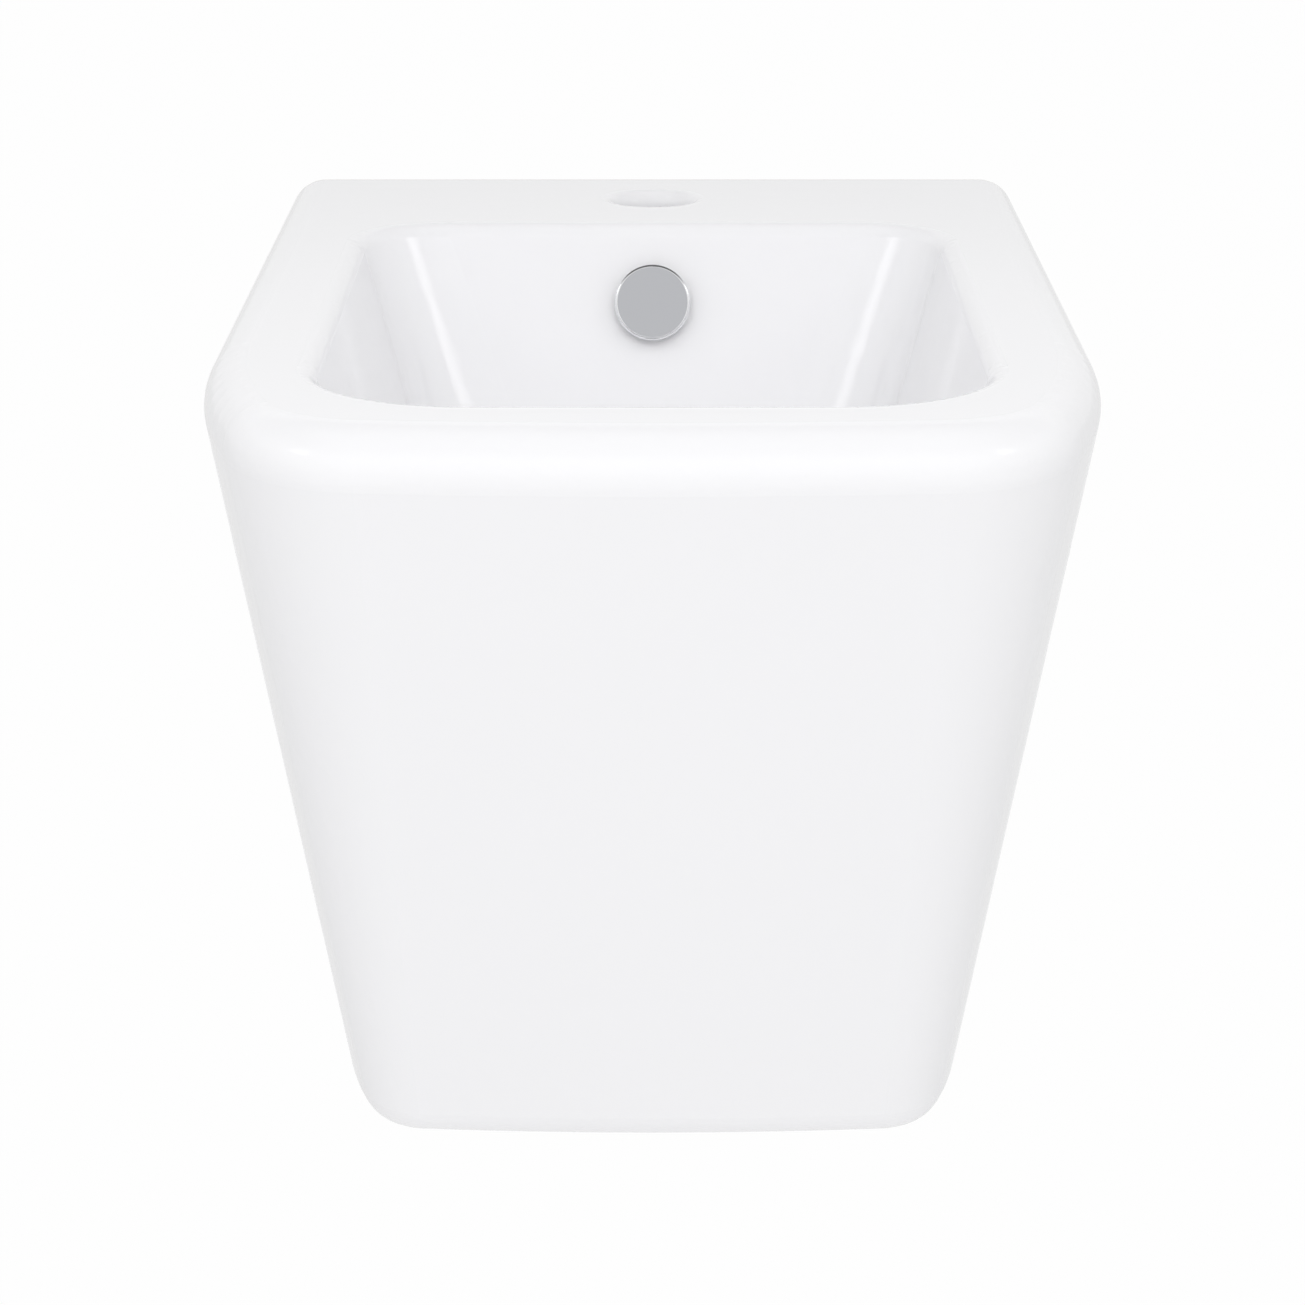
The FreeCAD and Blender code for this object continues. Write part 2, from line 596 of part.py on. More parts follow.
def overflow_cap():
    """A flat disc with a rounded edge, on a stem whose shoulder sets how far it stands off the wall."""
    disc_r = OVERFLOW_CAP_DIAMETER / 2
    back_z = OVERFLOW_STANDOFF
    front_z = back_z + OVERFLOW_CAP_THICKNESS
    shoulder_r = OVERFLOW_STEM_R + OVERFLOW_SHOULDER_WIDTH
    shoulder_z = OVERFLOW_SEAL_THICKNESS
    tip_z = shoulder_z - OVERFLOW_STEM_LENGTH
    cap = turned([
        (0, tip_z), (OVERFLOW_STEM_R - OVERFLOW_STEM_CHAMFER, tip_z),
        (OVERFLOW_STEM_R, tip_z + OVERFLOW_STEM_CHAMFER), (OVERFLOW_STEM_R, shoulder_z),
        (shoulder_r, shoulder_z), (shoulder_r, back_z),
        (disc_r - OVERFLOW_CAP_BACK_CHAMFER, back_z), (disc_r, back_z + OVERFLOW_CAP_BACK_CHAMFER),
        (disc_r, front_z), (0, front_z),
    ])
    front_edge = round_edges(cap, front_z, OVERFLOW_CAP_DIAMETER)
    return at_overflow(cap.makeFillet(OVERFLOW_CAP_EDGE_R, front_edge))


def waste_body():
    """The flange, the threaded tube with its overflow windows and the spider that carries the cartridge."""
    flange_r = WASTE_FLANGE_DIAMETER / 2
    pocket_r = PLUG_DIAMETER / 2 + PLUG_CLEARANCE
    groove_r = WASTE_THREAD_R - WASTE_GROOVE_DEPTH
    rim_z = FLANGE_Z + WASTE_FLANGE_THICKNESS
    body = turned([
        (WASTE_BORE_R, TAIL_Z), (WASTE_THREAD_R - WASTE_TAIL_CHAMFER, TAIL_Z),
        (WASTE_THREAD_R, TAIL_Z + WASTE_TAIL_CHAMFER), (WASTE_THREAD_R, GROOVE_Z),
        (groove_r, GROOVE_Z), (groove_r, GROOVE_TOP_Z), (WASTE_THREAD_R, GROOVE_TOP_Z),
        (WASTE_THREAD_R, FLANGE_Z), (flange_r, FLANGE_Z), (flange_r, rim_z - WASTE_FLANGE_CHAMFER),
        (flange_r - WASTE_FLANGE_CHAMFER, rim_z), (pocket_r + rim_z - PLUG_SEAT_Z, rim_z),
        (pocket_r, PLUG_SEAT_Z), (WASTE_BORE_R, PLUG_SEAT_Z),
    ])
    window_bottom = CHANNEL_BOTTOM_Z - WINDOW_MARGIN
    window_top = CHANNEL_TOP_Z + WINDOW_MARGIN
    arm_length = (WASTE_BORE_R + WASTE_THREAD_R) / 2
    spider = [cylinder(HUB_BORE_R + HUB_WALL, HUB_BOTTOM_Z, HUB_TOP_Z)]
    for step in range(ARM_COUNT):
        turn = 360 * step / ARM_COUNT
        body = body.cut(bar(WASTE_THREAD_R + CUT_PAST, WINDOW_WIDTH, window_bottom, window_top, 0, turn))
        spider.append(bar(arm_length, ARM_THICKNESS, HUB_BOTTOM_Z, HUB_TOP_Z, 0, turn + 180 / ARM_COUNT))
    hub_bore = cylinder(HUB_BORE_R, HUB_BOTTOM_Z - CUT_PAST, HUB_TOP_Z + CUT_PAST)
    body = body.fuse(spider).cut(hub_bore).removeSplitter()
    body.translate(DRAIN)
    return body


def waste_top_seal():
    outer_r = WASTE_FLANGE_DIAMETER / 2
    return ring(outer_r, outer_r - TOP_SEAL_WIDTH, SEAT_Z, FLANGE_Z, DRAIN)


def waste_bottom_seal():
    outer_r = NUT_CLEAR_R + BOTTOM_SEAL_WIDTH
    return turned([
        (NUT_CLEAR_R, SLIP_WASHER_TOP_Z), (outer_r, SLIP_WASHER_TOP_Z),
        (outer_r, BOSS_Z - BOTTOM_SEAL_CHAMFER), (outer_r - BOTTOM_SEAL_CHAMFER, BOSS_Z),
        (NUT_CLEAR_R, BOSS_Z),
    ], DRAIN)


def waste_slip_washer():
    return ring(NUT_CLEAR_R + SLIP_WASHER_WIDTH, NUT_CLEAR_R, BACK_NUT_TOP_Z, SLIP_WASHER_TOP_Z, DRAIN)


def waste_back_nut():
    return hexagon(BACK_NUT_FLATS, NUT_CLEAR_R, GROOVE_TOP_Z, BACK_NUT_TOP_Z, DRAIN)


def plug_cap():
    """The domed plug, with a boss that its seal sits around and a socket for the pin."""
    rim_r = PLUG_DIAMETER / 2
    shoulder_z = PLUG_RIM_Z + PLUG_RIM
    crown_z = shoulder_z + PLUG_CROWN
    dome_r = (rim_r ** 2 + PLUG_CROWN ** 2) / (2 * PLUG_CROWN)
    half_way_z = crown_z - dome_r + math.sqrt(dome_r ** 2 - (rim_r / 2) ** 2)
    pin_hole_r = PIN_R + THREAD_CLEARANCE
    socket_r = pin_hole_r + PLUG_SOCKET_WALL
    socket_z = PLUG_RIM_Z - PLUG_SOCKET_DEPTH
    boss_z = PLUG_RIM_Z - PLUG_BOSS_DEPTH
    profile = [
        (0, crown_z), (0, PLUG_RIM_Z), (pin_hole_r, PLUG_RIM_Z), (pin_hole_r, socket_z),
        (socket_r, socket_z), (socket_r, boss_z), (PLUG_BOSS_R, boss_z), (PLUG_BOSS_R, PLUG_RIM_Z),
        (rim_r, PLUG_RIM_Z), (rim_r, shoulder_z),
    ]
    points = [vec(r, 0, z) for r, z in profile]
    edges = [line(start, end) for start, end in zip(points, points[1:])]
    edges.append(arc(points[-1], vec(rim_r / 2, 0, half_way_z), points[0]))
    cap = Part.Face(Part.Wire(edges)).revolve(CENTRE, UP, 360)
    cap.translate(DRAIN)
    return cap


def plug_seal():
    inner_r = PLUG_BOSS_R + THREAD_CLEARANCE
    return ring(inner_r + PLUG_SEAL_WIDTH, inner_r, PLUG_SEAL_Z, PLUG_RIM_Z, DRAIN)


def plug_pin():
    """The pin that is screwed into the plug, with the foot that the spring lifts."""
    return turned([
        (0, PIN_FOOT_Z), (PIN_FOOT_R, PIN_FOOT_Z), (PIN_FOOT_R, PIN_FOOT_TOP_Z),
        (PIN_R, PIN_FOOT_TOP_Z), (PIN_R, PLUG_RIM_Z), (0, PLUG_RIM_Z),
    ], DRAIN)


def latch_ring():
    """The ring above the pin's foot that catches in the housing when the plug is pushed."""
    return ring(PIN_FOOT_R, PIN_R + THREAD_CLEARANCE, PIN_FOOT_TOP_Z, LATCH_RING_TOP_Z, DRAIN)


def click_cartridge():
    """The housing of the click mechanism: a collar on the spider and a tube below it."""
    collar_r = CARTRIDGE_R + CARTRIDGE_COLLAR_WIDTH
    pin_hole_r = PIN_R + RUNNING_CLEARANCE
    return turned([
        (CARTRIDGE_BORE_R, CARTRIDGE_END_Z), (CARTRIDGE_R, CARTRIDGE_END_Z), (CARTRIDGE_R, HUB_TOP_Z),
        (collar_r, HUB_TOP_Z), (collar_r, COLLAR_TOP_Z), (pin_hole_r, COLLAR_TOP_Z),
        (pin_hole_r, CARTRIDGE_ROOF_Z), (CARTRIDGE_BORE_R, CARTRIDGE_ROOF_Z),
    ], DRAIN)


def cartridge_end_cap():
    plug_r = CARTRIDGE_BORE_R - THREAD_CLEARANCE
    flange_z = CARTRIDGE_END_Z - END_CAP_FLANGE
    return turned([
        (0, flange_z), (CARTRIDGE_R, flange_z), (CARTRIDGE_R, CARTRIDGE_END_Z),
        (plug_r, CARTRIDGE_END_Z), (plug_r, CARTRIDGE_FLOOR_Z), (0, CARTRIDGE_FLOOR_Z),
    ], DRAIN)


def cartridge_nut():
    bottom = HUB_BOTTOM_Z - CARTRIDGE_NUT_HEIGHT
    return hexagon(CARTRIDGE_NUT_FLATS, HUB_BORE_R, bottom, HUB_BOTTOM_Z, DRAIN)


def tangent_arc(start, heading, end):
    """The arc that leaves the start along the heading and reaches the end."""
    chord = end - start
    along = FreeCAD.Vector(chord).normalize()
    side = heading - along * heading.dot(along)
    half_turn = heading.getAngle(along)
    rise = chord.Length / 2 * math.tan(half_turn / 2)
    return arc(start, start + chord / 2 + side.normalize() * rise, end)


def biarc(start, heading, end, final_heading):
    """Two arcs that leave along one heading, meet smoothly and arrive along the other."""
    gap = end - start
    both = heading + final_heading
    spread = 2 * (1 - heading.dot(final_heading))
    push = gap.dot(both)
    reach = (math.sqrt(push ** 2 + spread * gap.dot(gap)) - push) / spread
    middle = (start + heading * reach + end - final_heading * reach) / 2
    arriving = tangent_arc(end, final_heading * -1, middle)
    return [tangent_arc(start, heading, middle), arriving]


def click_spring():
    """A coil that stands on the end cap and lifts the pin's foot."""
    coil_r = CARTRIDGE_BORE_R - SPRING_WIRE
    height = SPRING_LENGTH - SPRING_WIRE - 2 * THREAD_CLEARANCE
    pitch = height / SPRING_TURNS
    quarters = 4 * SPRING_TURNS
    places = []
    headings = []
    for step in range(quarters + 1):
        turn = step * math.pi / 2
        places.append(vec(coil_r * math.cos(turn), coil_r * math.sin(turn), pitch * step / 4))
        headings.append(vec(-math.sin(turn), math.cos(turn), pitch / (2 * math.pi * coil_r)).normalize())
    path = []
    for step in range(quarters):
        path.extend(biarc(places[step], headings[step], places[step + 1], headings[step + 1]))
    gaps = [(places[step + 4] - places[step]).Length - SPRING_WIRE for step in range(quarters - 3)]
    print("click_spring least gap between turns", round(min(gaps), 3), "mm")
    section = Part.Wire(Part.makeCircle(SPRING_WIRE / 2, places[0], headings[0]))
    spring = Part.Wire(path).makePipeShell([section], True)
    spring.translate(DRAIN + vec(0, 0, CARTRIDGE_FLOOR_Z + SPRING_WIRE / 2 + THREAD_CLEARANCE))
    return spring


def fixing_bushes():
    """Collared plastic bushes that keep the wall studs off the ceramic."""
    bore_r = FIXING_BORE_DIAMETER / 2
    bush_r = FIXING_HOLE_DIAMETER / 2 - ASSEMBLY_CLEARANCE
    collar_r = FIXING_HOLE_DIAMETER / 2 + BUSH_COLLAR_WIDTH
    return at_fixings(turned([
        (bore_r, BUSH_FACE), (collar_r, BUSH_FACE), (collar_r, PLATE_FACE), (bush_r, PLATE_FACE),
        (bush_r, 0), (bore_r, 0),
    ]))


def fixing_washers():
    bore_r = FIXING_BORE_DIAMETER / 2
    return at_fixings(ring(bore_r + FIXING_WASHER_WIDTH, bore_r, WASHER_FACE, BUSH_FACE))


def fixing_nuts():
    nut_face = WASHER_FACE - FIXING_NUT_HEIGHT
    return at_fixings(hexagon(FIXING_NUT_FLATS, FIXING_NUT_BORE / 2, nut_face, WASHER_FACE))


PIECES = [
    ceramic_body,
    overflow_cap,
    overflow_sleeve,
    overflow_seal,
    waste_body,
    waste_top_seal,
    waste_bottom_seal,
    waste_slip_washer,
    waste_back_nut,
    plug_cap,
    plug_seal,
    plug_pin,
    latch_ring,
    click_cartridge,
    cartridge_end_cap,
    cartridge_nut,
    click_spring,
    fixing_bushes,
    fixing_washers,
    fixing_nuts,
]

os.makedirs("parts", exist_ok=True)
for piece in PIECES:
    name = piece.__name__
    shape = piece()
    print(name, len(shape.Solids), "solid(s)", round(shape.Volume, 1), "mm3, valid:", shape.isValid())
    shape.exportStep(os.path.join("parts", name + ".step"))
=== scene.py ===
"""Finishes, threads, floor, light and camera for a wall-hung bidet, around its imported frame.

Metres. The wall is the plane Y = 0 and +Y points into it, so the user stands on the -Y side. +Z is up.
"""

import json
import math

import bmesh
import bpy
from bpy.props import FloatProperty, FloatVectorProperty, PointerProperty
from bpy.types import Operator, Panel, PropertyGroup
from mathutils import Matrix, Vector


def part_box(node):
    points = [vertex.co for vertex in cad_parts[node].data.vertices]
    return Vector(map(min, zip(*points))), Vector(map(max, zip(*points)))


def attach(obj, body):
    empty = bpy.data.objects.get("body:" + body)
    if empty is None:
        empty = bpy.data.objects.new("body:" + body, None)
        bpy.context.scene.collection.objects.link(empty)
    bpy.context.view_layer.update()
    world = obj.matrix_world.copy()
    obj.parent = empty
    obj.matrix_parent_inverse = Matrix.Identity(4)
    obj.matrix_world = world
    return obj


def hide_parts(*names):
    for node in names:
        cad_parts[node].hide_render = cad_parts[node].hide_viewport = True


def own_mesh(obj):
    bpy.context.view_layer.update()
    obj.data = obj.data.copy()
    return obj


bl_info = {
    "name": "Wall-hung bidet",
    "version": (1, 0, 0),
    "blender": (4, 5, 0),
    "location": "3D View > Sidebar > Bidet",
    "description": "Finishes, threads, floor, light and camera for a wall-hung bidet",
    "category": "Object",
}

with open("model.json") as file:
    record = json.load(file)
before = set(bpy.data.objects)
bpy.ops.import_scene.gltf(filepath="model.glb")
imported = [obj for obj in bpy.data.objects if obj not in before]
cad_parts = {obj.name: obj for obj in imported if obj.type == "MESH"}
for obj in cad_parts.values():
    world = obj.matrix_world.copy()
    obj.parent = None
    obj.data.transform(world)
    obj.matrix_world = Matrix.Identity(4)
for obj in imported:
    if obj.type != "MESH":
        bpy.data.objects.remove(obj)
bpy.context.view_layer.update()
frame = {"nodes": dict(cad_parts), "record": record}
NODES = frame["nodes"]
MOUNTS = {mount["name"]: mount for mount in frame["record"]["mounts"]}
MM = 0.001
FIXED_BODY = "bidet"
THREAD_STEPS = 48  # around one turn
CREST_SHARE = 0.09  # half the flat crest, as a share of the pitch
FLANK_SHARE = 0.46  # half the ridge's foot, as a share of the pitch
ROOT_SINK = 0.3 * MM  # how deep the ridge's foot sits in the metal
SEAM_GAP = 0.001 * MM  # points closer than this are one point
CEILING_SPAN = (0.5, 0.8)  # sines of the elevations between which the mirrored room darkens
FRONT_RIM = (0.0, -0.45, 0.08)  # what the near and front lamps face
LOW_LAMP_PLACE = (0.0, -1.9)  # across and in front
LOW_LAMP_LIFT = 0.02  # above the floor
BEAM_PLACE = (1.15, -0.92, 0.86)  # of the right beam
BEAM_CORNER = (-0.097, -0.155, 0.02)  # the basin's left rear corner, which the right beam faces


def colour(label, text, default):
    return FloatVectorProperty(
        name=label, description=text, subtype="COLOR", size=3, min=0.0, max=1.0, default=default
    )


def length(label, text, default):
    return FloatProperty(name=label, description=text, unit="LENGTH", precision=5, default=default)


def share(label, text, default):
    return FloatProperty(name=label, description=text, subtype="FACTOR", min=0.0, max=1.0, default=default)


def amount(label, text, default):
    return FloatProperty(name=label, description=text, min=0.0, default=default)


class ChinaFinish(PropertyGroup):
    """The glazed vitreous china."""

    glaze: colour("Glaze", "Colour of the glaze", (0.895, 0.893, 0.908))
    glaze_deep: colour("Deep glaze", "Colour where the glaze lies thicker", (0.885, 0.884, 0.900))
    biscuit: colour("Biscuit", "Unglazed china on the wall face", (0.70, 0.665, 0.61))
    biscuit_dark: colour("Dark biscuit", "Darker grains of the unglazed china", (0.60, 0.56, 0.50))
    gloss_low: share("Least roughness", "Roughness of the smoothest glaze", 0.045)
    gloss_high: share("Most roughness", "Roughness of the dullest glaze", 0.085)
    biscuit_rough: share("Biscuit roughness", "Roughness of the unglazed china", 0.85)
    ripple: length("Ripple", "Height of the glaze's soft waves", 0.02 * MM)
    grain: length("Grain", "Height of the unglazed grain", 0.12 * MM)
    bare_band: length("Bare band", "How far in front of the wall the glaze stops", 0.7 * MM)


class FittingFinish(PropertyGroup):
    """The metal, rubber and plastic fittings."""

    chrome: colour("Chrome", "Chrome on the overflow cover", (0.520, 0.527, 0.550))
    # Painted light: the plug's chrome is lighter than the cover's, to offset the dark ceiling that it
    # mirrors
    chrome_plug_lightened: colour("Plug chrome", "Chrome on the plug", (0.860, 0.865, 0.880))
    # Painted highlight: a ring of lighter chrome colour at the cover's rounded edge stands in for the
    # bright reflection it catches
    chrome_edge_highlight: colour("Chrome edge", "Chrome on the cover's polished edge", (0.860, 0.865, 0.880))
    # Width of that painted highlight ring
    highlight_band: length("Edge band", "Width of the cover's polished edge", 1.3 * MM)
    chrome_waste: colour("Waste chrome", "Chrome on the waste", (0.470, 0.476, 0.490))
    brass: colour("Brass", "Turned brass", (0.760, 0.560, 0.270))
    brass_dark: colour("Dark brass", "Tarnish in the turning marks", (0.560, 0.390, 0.170))
    rubber: colour("Rubber", "Black rubber", (0.022, 0.022, 0.024))
    rubber_pale: colour("Rubber bloom", "Grey bloom on the rubber", (0.060, 0.060, 0.062))
    plastic: colour("White plastic", "Moulded white plastic", (0.780, 0.780, 0.765))
    slip_plastic: colour("Slip plastic", "Milky slip washer", (0.660, 0.690, 0.700))
    zinc: colour("Zinc", "Zinc-plated steel", (0.610, 0.635, 0.655))
    zinc_dark: colour("Dark zinc", "Darker crystals in the zinc", (0.470, 0.490, 0.505))


class ThreadSizes(PropertyGroup):
    """The threads that show below the waste and in the wall nuts."""

    waste_pitch: length("Waste pitch", "Pitch of the waste's thread", 2.309 * MM)
    waste_height: length("Waste thread height", "How far its ridge stands up", 0.45 * MM)
    stud_radius: length("Stud hole", "Radius of the wall nuts' bore", 6.1 * MM)
    stud_pitch: length("Stud pitch", "Pitch of the wall nuts' thread", 1.75 * MM)
    stud_height: length("Stud thread height", "How far its ridge stands up", 0.75 * MM)
    cartridge_pitch: length("Cartridge pitch", "Pitch of the cartridge's thread", 1.25 * MM)
    cartridge_height: length("Cartridge thread height", "How far its ridge stands up", 0.3 * MM)


class StudioSettings(PropertyGroup):
    """The floor, the light and the camera."""

    floor_level: length("Floor level", "Height of the floor, from the wall fixings", -0.95)
    floor_size: length("Floor size", "Width of the square floor", 60.0)
    floor: colour("Floor", "Pale floor", (0.96, 0.96, 0.96))
    floor_white: share("Floor white", "How far the floor is plain white where it is seen", 0.97)
    floor_mirrored: share("Mirrored floor", "How far the floor is plain white in mirrors", 0.55)
    sky: amount("Sky", "Strength of the even light all round", 0.685)
    room: share("Room", "How bright the room is in mirrors", 0.93)
    ceiling: share("Ceiling", "How bright the ceiling is in mirrors", 0.15)
    near_lamp: amount("Near lamp", "Power of the soft lamp above the front rim, in watts", 1.85)
    front_lamp: amount("Front lamp", "Power of the broad lamp high in front, in watts", 21.5)
    low_lamp: amount("Low lamp", "Power of the soft lamp on the floor in front, in watts", 11.0)
    beam: amount("Beams", "Power of each beam into the basin's rear corners, in watts", 0.023)
    beam_spread: FloatProperty(
        name="Beam spread", description="Angle of those beams", subtype="ANGLE", default=math.radians(24.0)
    )
    camera_height: length("Camera height", "Above the wall fixings", 0.4049)
    camera_distance: length("Camera distance", "In front of the wall", 1.8233)
    camera_pitch: FloatProperty(
        name="Camera pitch", description="Below the horizon", subtype="ANGLE", default=math.radians(17.2)
    )
    camera_lens: FloatProperty(
        name="Camera lens", description="Focal length in millimetres on a 36 mm sensor", default=104.8
    )


class Nodes:
    """Adds and links the nodes of one tree."""

    def __init__(self, tree):
        self.tree = tree

    def add(self, kind, **settings):
        node = self.tree.nodes.new(kind)
        for key, value in settings.items():
            setattr(node, key, value)
        return node

    def put(self, socket, value):
        """Links an output to the socket, or writes a plain value into it."""
        if isinstance(value, bpy.types.NodeSocket):
            self.tree.links.new(value, socket)
        elif socket.type == "RGBA":
            socket.default_value = (*value, 1.0)
        else:
            socket.default_value = value

    def span(self, value, low, high):
        """Spreads a factor over the span from low to high."""
        node = self.add("ShaderNodeMapRange")
        self.put(node.inputs["Value"], value)
        self.put(node.inputs["To Min"], low)
        self.put(node.inputs["To Max"], high)
        return node.outputs["Result"]

    def sharpen(self, value, start, end):
        """Turns a factor into a clear pattern: 0 below the start, 1 above the end."""
        node = self.add("ShaderNodeMapRange")
        self.put(node.inputs["Value"], value)
        self.put(node.inputs["From Min"], start)
        self.put(node.inputs["From Max"], end)
        return node.outputs["Result"]

    def mix(self, factor, first, second, kind="RGBA"):
        node = self.add("ShaderNodeMix", data_type=kind)
        sockets = [socket for socket in node.inputs if socket.enabled]
        for socket, value in zip(sockets, (factor, first, second)):
            self.put(socket, value)
        return next(socket for socket in node.outputs if socket.enabled)

    def math(self, operation, first, second):
        node = self.add("ShaderNodeMath", operation=operation)
        self.put(node.inputs[0], first)
        self.put(node.inputs[1], second)
        return node.outputs["Value"]

    def plainly_seen(self, mirror_share):
        """1 for what the camera sees, the share for what mirrors show, 0 for light on a surface."""
        path = self.add("ShaderNodeLightPath")
        mirrors = self.math("MAXIMUM", path.outputs["Is Glossy Ray"], path.outputs["Is Transmission Ray"])
        mirrors = self.math("MULTIPLY", mirrors, mirror_share)
        return self.math("MAXIMUM", path.outputs["Is Camera Ray"], mirrors)


class Shading(Nodes):
    """A new material with its shader and the position on the piece."""

    def __init__(self, name):
        self.material = bpy.data.materials.new(name)
        self.material.use_nodes = True
        super().__init__(self.material.node_tree)
        self.shader = self.tree.nodes["Principled BSDF"]
        self.position = self.add("ShaderNodeTexCoord").outputs["Object"]

    def set(self, **values):
        """Sets the shader's sockets, named with underscores for spaces."""
        for key, value in values.items():
            self.put(self.shader.inputs[key.replace("_", " ").title().replace("Ior", "IOR")], value)

    def stretched(self, scale):
        node = self.add("ShaderNodeMapping")
        self.put(node.inputs["Vector"], self.position)
        self.put(node.inputs["Scale"], scale)
        return node.outputs["Vector"]

    def noise(self, scale, detail=2.0, position=None):
        node = self.add("ShaderNodeTexNoise")
        self.put(node.inputs["Vector"], position or self.position)
        self.put(node.inputs["Scale"], scale)
        self.put(node.inputs["Detail"], detail)
        return node.outputs["Fac"]

    def cells(self, scale):
        node = self.add("ShaderNodeTexVoronoi")
        self.put(node.inputs["Vector"], self.position)
        self.put(node.inputs["Scale"], scale)
        return node.outputs["Color"]

    def bump(self, height, distance, strength=1.0):
        node = self.add("ShaderNodeBump")
        self.put(node.inputs["Height"], height)
        self.put(node.inputs["Distance"], distance)
        self.put(node.inputs["Strength"], strength)
        return node.outputs["Normal"]


def china_material(look):
    """Clear glaze over white china, bare and grainy where the body meets the wall."""
    shade = Shading("glazed_china")
    depth = shade.add("ShaderNodeSeparateXYZ")
    shade.put(depth.inputs["Vector"], shade.position)
    bare = shade.sharpen(depth.outputs["Y"], -look.bare_band, -look.bare_band / 2)
    glaze = shade.mix(shade.noise(7.0), look.glaze, look.glaze_deep)
    grains = shade.noise(1400.0, detail=4.0)
    biscuit = shade.mix(shade.sharpen(grains, start=0.4, end=0.7), look.biscuit, look.biscuit_dark)
    gloss = shade.span(shade.noise(30.0, detail=3.0), look.gloss_low, look.gloss_high)
    grain = shade.span(grains, low=0.0, high=look.grain / look.ripple)
    waves = shade.mix(bare, shade.noise(55.0), grain, "FLOAT")
    shade.set(
        base_color=shade.mix(bare, glaze, biscuit),
        roughness=shade.mix(bare, gloss, look.biscuit_rough, "FLOAT"),
        ior=1.52,
        normal=shade.bump(waves, look.ripple),
    )
    return shade.material


def chrome_shading(name, smoothest, dullest):
    """Plated metal with a faint haze of fine wiping marks, its colour still to be set."""
    shade = Shading(name)
    haze = shade.noise(60.0, detail=3.0)
    wiping = shade.noise(900.0, position=shade.stretched((1.0, 1.0, 0.08)))
    shade.set(
        metallic=1.0,
        roughness=shade.span(shade.mix(0.5, haze, wiping, "FLOAT"), smoothest, dullest),
        normal=shade.bump(wiping, distance=0.002 * MM),
    )
    return shade


def cover_material(look):
    """Chrome for the overflow cover, with a painted highlight: a ring of lighter colour at its edge."""
    points = [vertex.co for vertex in NODES["overflow_cap"].data.vertices]
    left = min(points, key=lambda point: point.x)
    right = max(points, key=lambda point: point.x)
    start = (right.x - left.x) / 2 - look.highlight_band
    shade = chrome_shading("cover_chrome_painted_ring", smoothest=0.06, dullest=0.12)
    reach = shade.add("ShaderNodeVectorMath", operation="DISTANCE")
    shade.put(reach.inputs[0], shade.position)
    shade.put(reach.inputs[1], (left + right) / 2)
    # The painted highlight: lighter chrome colour in a ring at the cover's rim
    edge = shade.sharpen(reach.outputs["Value"], start, start + look.highlight_band / 4)
    shade.set(base_color=shade.mix(edge, look.chrome, look.chrome_edge_highlight))
    return shade.material


def brass_material(look):
    """Turned brass, with the tool's rings around the axis and some tarnish."""
    shade = Shading("turned_brass")
    rings = shade.noise(1600.0, detail=1.0, position=shade.stretched((0.03, 0.03, 1.0)))
    tarnish = shade.noise(120.0, detail=4.0)
    shade.set(
        base_color=shade.mix(shade.mix(0.5, rings, tarnish, "FLOAT"), look.brass, look.brass_dark),
        metallic=1.0,
        roughness=shade.span(tarnish, low=0.22, high=0.42),
        normal=shade.bump(rings, distance=0.01 * MM),
    )
    return shade.material


def rubber_material(look):
    """Dull black rubber with a grey bloom."""
    shade = Shading("black_rubber")
    bloom = shade.noise(220.0, detail=4.0)
    shade.set(
        base_color=shade.mix(shade.sharpen(bloom, start=0.45, end=0.8), look.rubber, look.rubber_pale),
        roughness=shade.span(bloom, low=0.5, high=0.75),
        normal=shade.bump(shade.noise(1800.0), distance=0.02 * MM),
    )
    return shade.material


def plastic_material(name, base, depth):
    """Moulded plastic that lets some light in, with a fine spark-eroded grain."""
    shade = Shading(name)
    grain = shade.noise(2400.0)
    shade.set(
        base_color=base,
        roughness=shade.span(shade.noise(180.0, detail=3.0), low=0.3, high=0.46),
        subsurface_weight=0.2,
        subsurface_scale=depth,
        normal=shade.bump(grain, distance=0.008 * MM),
    )
    return shade.material


def zinc_material(look):
    """Zinc plating with its small crystals."""
    shade = Shading("zinc_plating")
    crystals = shade.cells(700.0)
    shade.set(
        base_color=shade.mix(crystals, look.zinc, look.zinc_dark),
        metallic=1.0,
        roughness=shade.span(crystals, low=0.26, high=0.44),
        normal=shade.bump(crystals, distance=0.004 * MM),
    )
    return shade.material


def coat(material, *names):
    """Gives CAD nodes their finish."""
    for name in names:
        mesh = NODES[name].data
        mesh.materials.clear()
        mesh.materials.append(material)


